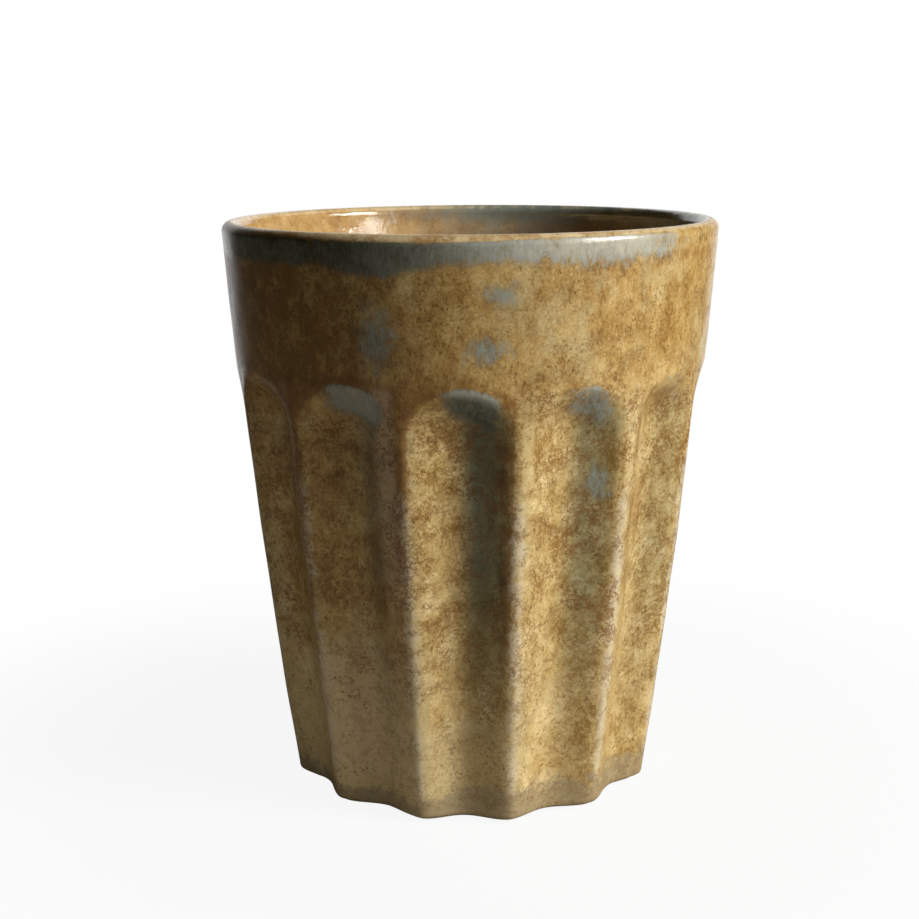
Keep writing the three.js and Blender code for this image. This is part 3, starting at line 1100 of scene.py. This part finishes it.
def clay_material():
    """Bare fired clay: dry, and speckled with iron."""
    material, tree, place = new_material("bare_stoneware_clay")
    mottle = use(tree, MOTTLE, {
        "Place": place, "Pale": CLAY_PALE, "Middle": CLAY_PALE, "Deep": CLAY_DEEP,
        "Scale": CLAY_SCALE, "Contrast": CLAY_CONTRAST, "Grain": CLAY_GRAIN, "Shift": 0.0,
    })
    speckled = {"Place": place, "Scale": CLAY_SPECK_SCALE, "Threshold": CLAY_SPECK_THRESHOLD}
    specks = use(tree, SPECKS, speckled)["Mask"]
    colour = mix(tree, times(tree, specks, CLAY_SPECK_SHARE), mottle["Colour"], IRON)
    roughness = spread(tree, mottle["Level"], *CLAY_ROUGHNESS)
    finish_material(tree, place, colour, roughness, CLAY_RIPPLE, CLAY_IOR)
    return material


def dress(piece, material, node):
    """Gives a piece its material, hangs it on the root body, and hides the CAD part that it stands for."""
    piece.data.materials.append(material)
    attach(piece, "root")
    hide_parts(node)


dress(glaze_coat(), coat_material(), "outer_glaze")
dress(liner_coat(), liner_material(), "liner_glaze")
dress(clay_body(), clay_material(), "stoneware_body")


# Floor, light and camera

def studio_floor():
    """A wide pale disc under the cup.

    To the camera it is white far off, and keeps the cup's shadow close by: part of its brightness there
    comes from the lamps, and part does not. In reflections it is bright in a fan behind the cup, like the
    backdrop.
    """
    angle = np.linspace(0, 2 * math.pi, FLOOR_SIDES, endpoint=False)
    rim = np.stack([FLOOR_SIZE * np.cos(angle), FLOOR_SIZE * np.sin(angle), 0 * angle - FLOOR_DROP], 1)
    mesh = bpy.data.meshes.new("studio_floor")
    mesh.from_pydata(rim.tolist(), [], [list(range(FLOOR_SIDES))])
    floor = bpy.data.objects.new("studio_floor", mesh)
    bpy.context.scene.collection.objects.link(floor)
    material, tree, place = new_material("pale_floor")
    ray = add(tree, "ShaderNodeLightPath").outputs
    pale = mix(tree, noise(tree, place, *FLOOR_GRAIN), FLOOR_DARK, FLOOR_PALE)
    colour = mix(tree, ray["Is Camera Ray"], FLOOR_BOUNCE, pale)
    paper = add(tree, "ShaderNodeBsdfDiffuse", {"Color": colour}).outputs[0]
    white = add(tree, "ShaderNodeEmission", {"Color": WHITE, "Strength": 1.0}).outputs[0]
    away = add(tree, "ShaderNodeVectorMath", {0: place}, operation="LENGTH").outputs["Value"]
    whiteness = times(tree, ray["Is Camera Ray"], spread(tree, away, *SHADOW_FADE, FLOOR_WHITE, 1.0))
    spot = add(tree, "ShaderNodeSeparateXYZ", {0: place}).outputs
    beside = maths(tree, "ABSOLUTE", weighted(tree, spot["X"], (spot["Y"], FAN_LEAN)))
    aside = maths(tree, "DIVIDE", beside, maths(tree, "MAXIMUM", spot["Y"], FAN_NEAREST))
    fan = spread(tree, aside, *FAN_END, BACKDROP_LEVEL, 0.0)
    fan = times(tree, fan, spread(tree, spot["Y"], *FAN_START))
    mirrored = times(tree, ray["Is Glossy Ray"], fan)
    share = maths(tree, "ADD", whiteness, mirrored, clamp=True)
    shader = add(tree, "ShaderNodeMixShader", {0: share, 1: paper, 2: white}).outputs[0]
    add(tree, "ShaderNodeOutputMaterial", {"Surface": shader})
    mesh.materials.append(material)


def on_sphere(distance, angle, elevation):
    """A place at a distance from the cup, at an angle round it from -Y towards +X and an elevation."""
    a = math.radians(angle)
    e = math.radians(elevation)
    flat = distance * math.cos(e)
    return Vector((flat * math.sin(a), -flat * math.cos(a), distance * math.sin(e)))


def spot_lamp(name, angle, elevation, distance, size, power, cone, softness, aim):
    """A soft round lamp that faces the cup's axis at the height of its aim, its light kept to a cone."""
    lamp = bpy.data.lights.new(name, "SPOT")
    lamp.shadow_soft_size = size / 2
    lamp.energy = power
    lamp.color = LAMP_COLOUR
    lamp.spot_size = math.radians(cone)
    lamp.spot_blend = softness
    holder = bpy.data.objects.new(name, lamp)
    holder.location = on_sphere(distance, angle, elevation)
    holder.rotation_euler = (Vector((0, 0, aim)) - holder.location).to_track_quat("-Z", "Y").to_euler()
    holder.visible_camera = False
    bpy.context.scene.collection.objects.link(holder)


def studio_world():
    """Dim light from all round, a pale backdrop behind the cup, and white where the camera looks past it."""
    world = bpy.data.worlds.new("studio_world")
    world.use_nodes = True
    tree = world.node_tree
    tree.nodes.clear()
    towards = add(tree, "ShaderNodeTexCoord").outputs["Generated"]
    facing = add(tree, "ShaderNodeVectorMath", {0: towards, 1: BACKDROP_WAY}, operation="DOT_PRODUCT")
    level = spread(tree, facing.outputs["Value"], *BACKDROP_RISE, FILL_LEVEL, BACKDROP_LEVEL)
    fill = add(tree, "ShaderNodeBackground", {"Color": FILL_COLOUR, "Strength": level}).outputs[0]
    white = add(tree, "ShaderNodeBackground", {"Color": WHITE, "Strength": 1.0}).outputs[0]
    seen = add(tree, "ShaderNodeLightPath").outputs["Is Camera Ray"]
    both = add(tree, "ShaderNodeMixShader", {0: seen, 1: fill, 2: white}).outputs[0]
    add(tree, "ShaderNodeOutputWorld", {"Surface": both})
    bpy.context.scene.world = world


def photo_camera():
    """The camera at the photograph's place: turned about the cup's axis, pitched down, a little rolled."""
    lens = bpy.data.cameras.new("photo_camera")
    lens.lens = CAMERA_LENS
    lens.sensor_width = CAMERA_SENSOR
    lens.sensor_fit = "HORIZONTAL"
    lens.clip_start = CAMERA_NEAR
    camera = bpy.data.objects.new("photo_camera", lens)
    turn = Matrix.Rotation(CAMERA_ANGLE, 4, "Z")
    stand = Matrix.Translation(Vector((0, -CAMERA_DISTANCE, CAMERA_HEIGHT)) * MM)
    aim = Matrix.Rotation(CAMERA_YAW, 4, "Z") @ Matrix.Rotation(math.pi / 2 - CAMERA_PITCH, 4, "X")
    camera.matrix_world = turn @ stand @ aim @ Matrix.Rotation(CAMERA_ROLL, 4, "Z")
    bpy.context.scene.collection.objects.link(camera)
    bpy.context.scene.camera = camera


studio_floor()
studio_world()
for lamp_name, settings in LAMPS.items():
    spot_lamp(lamp_name, **settings)
photo_camera()

bpy.context.scene.view_settings.view_transform = "Standard"
